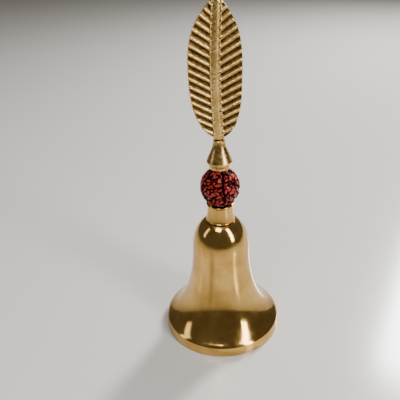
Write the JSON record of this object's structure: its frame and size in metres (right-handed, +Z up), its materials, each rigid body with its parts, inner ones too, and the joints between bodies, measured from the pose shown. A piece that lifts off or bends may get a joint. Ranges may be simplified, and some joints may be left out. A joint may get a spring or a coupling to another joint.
{
  "type": "puja hand bell",
  "caption": "Turned brass hand bell with a leaf-shaped handle, a rudraksha bead above the neck collar and a clapper hung on a wire link.",
  "frame": {"origin": "centre of the mouth, in the plane that the lip stands on", "axes": "+Z up along the bell's axis to the tip of the leaf; the leaf's front faces -Y and its width runs along X"},
  "size_m": [0.062, 0.062, 0.1697],
  "materials": {
    "turned_brass": "polished",
    "filed_brass": "hand filed and buffed",
    "cast_brass": "sand cast, ribs buffed, grooves dark",
    "brass_wire": "drawn wire, dull",
    "zinc_plated_steel": "zinc plated",
    "rudraksha": "dyed and oiled seed"
  },
  "bodies": {
    "bell": {"bell_body": "turned_brass", "neck_collar": "turned_brass", "rudraksha_bead": "rudraksha", "taper_ferrule": "filed_brass", "leaf_handle": "cast_brass", "eye_bolt": "zinc_plated_steel", "crown_washer": "zinc_plated_steel", "crown_nut": "zinc_plated_steel"},
    "link": {"clapper_link": "brass_wire"},
    "clapper": {"clapper_stem": "brass_wire", "clapper_bob": "filed_brass"}
  },
  "joints": [
    {"name": "link_swing", "type": "hinge", "parent": "bell", "child": "link", "pos_m": [0, 0, 0.0486], "axis": [1, 0, 0], "range_deg": [-12, 12]},
    {"name": "clapper_swing", "type": "hinge", "parent": "link", "child": "clapper", "pos_m": [0, 0, 0.04245], "axis": [0, 1, 0], "range_deg": [-19, 19]}
  ]
}
